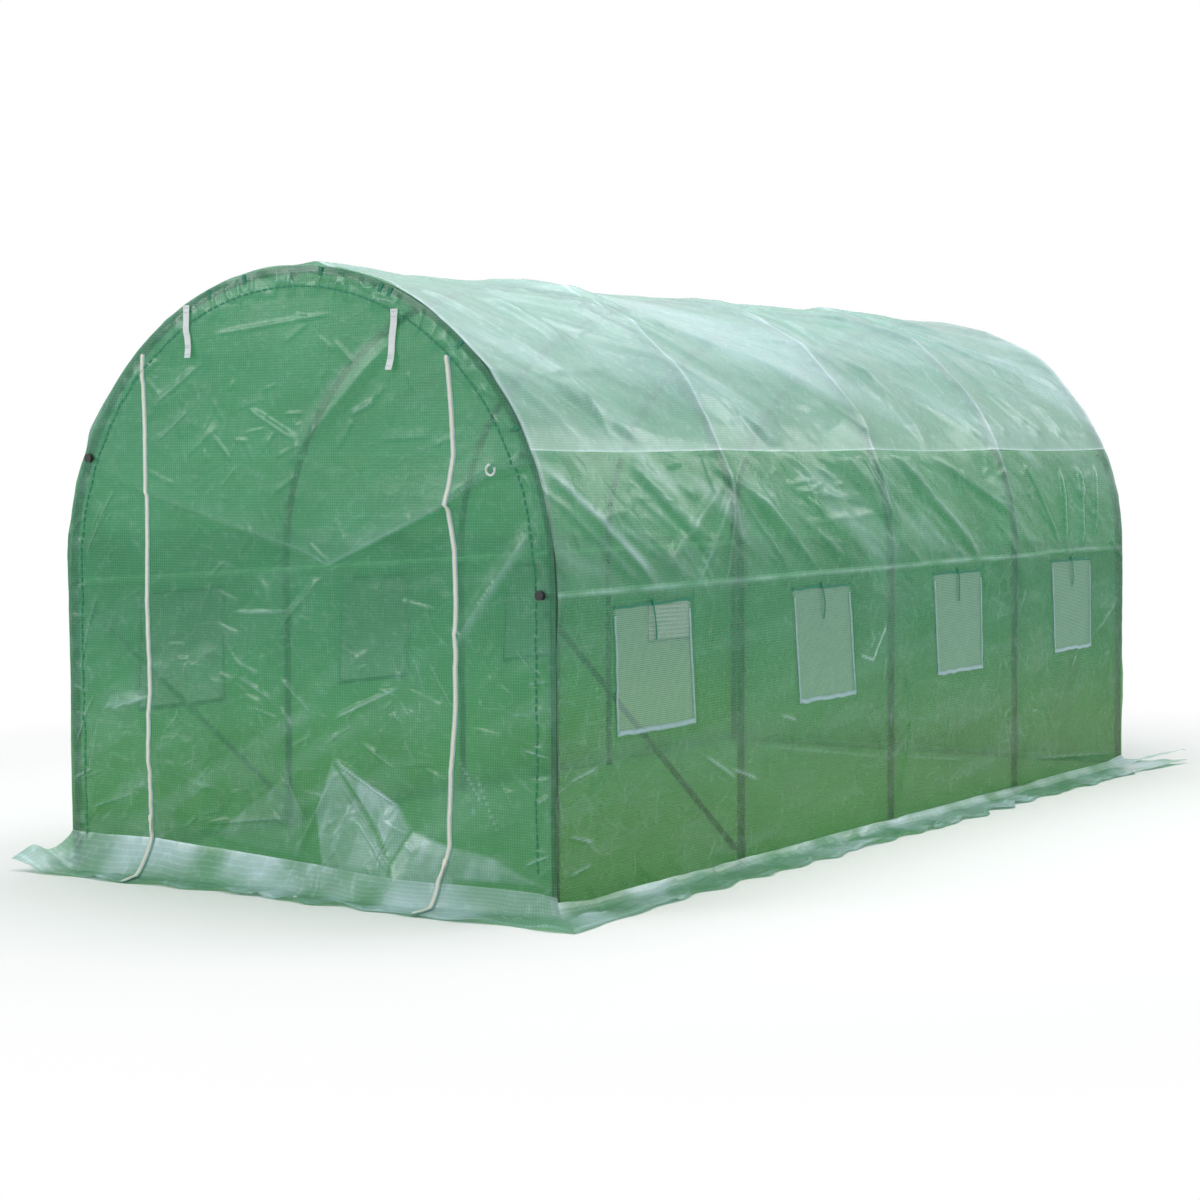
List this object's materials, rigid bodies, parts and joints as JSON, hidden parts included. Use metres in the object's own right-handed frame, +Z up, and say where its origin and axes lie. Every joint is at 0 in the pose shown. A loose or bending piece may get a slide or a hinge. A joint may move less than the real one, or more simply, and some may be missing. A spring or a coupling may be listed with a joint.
{
  "type": "polytunnel greenhouse",
  "caption": "Arched walk-in polytunnel: bent steel hoops and purlins under a green film cover with zipped door, mesh side windows and ground skirts.",
  "frame": {"origin": "middle of the footprint, on the ground", "axes": "+Z up, +Y from the zipped front to the plain rear along the tunnel, +X across to the right seen from the front"},
  "size_m": [2.4046, 4.9046, 2.0023],
  "materials": {
    "steel_tube": "satin",
    "black_plastic": "matte",
    "green_film": "gloss",
    "window_mesh": "matte",
    "edge_tape": "matte",
    "green_tape": "matte",
    "zip_tape": "matte",
    "webbing": "matte"
  },
  "bodies": {
    "root": {"door_straps": "webbing", "door_zips": "zip_tape", "fourth_hoop_crown": "steel_tube", "fourth_hoop_legs": "steel_tube", "fourth_hoop_side_bends": "steel_tube", "front_braces": "steel_tube", "front_door_panel": "green_film", "front_hoop_crown": "steel_tube", "front_hoop_legs": "steel_tube", "front_hoop_side_bends": "steel_tube", "front_left_panel": "green_film", "front_right_panel": "green_film", "front_skirt": "green_film", "left_haunch_film": "green_film", "left_roof_film": "green_film", "left_shoulder_purlin": "steel_tube", "left_side_purlin": "steel_tube", "left_skirt": "green_film", "left_wall_film": "green_film", "left_window_meshes": "window_mesh", "left_window_ties": "green_tape", "left_window_trims": "edge_tape", "purlin_end_caps": "black_plastic", "rear_hoop_crown": "steel_tube", "rear_hoop_legs": "steel_tube", "rear_hoop_side_bends": "steel_tube", "rear_panel": "green_film", "rear_skirt": "green_film", "ridge_purlin": "steel_tube", "right_haunch_film": "green_film", "right_roof_film": "green_film", "right_shoulder_purlin": "steel_tube", "right_side_purlin": "steel_tube", "right_skirt": "green_film", "right_wall_film": "green_film", "right_window_meshes": "window_mesh", "right_window_ties": "green_tape", "right_window_trims": "edge_tape", "second_hoop_crown": "steel_tube", "second_hoop_legs": "steel_tube", "second_hoop_side_bends": "steel_tube", "third_hoop_crown": "steel_tube", "third_hoop_legs": "steel_tube", "third_hoop_side_bends": "steel_tube"}
  },
  "joints": []
}
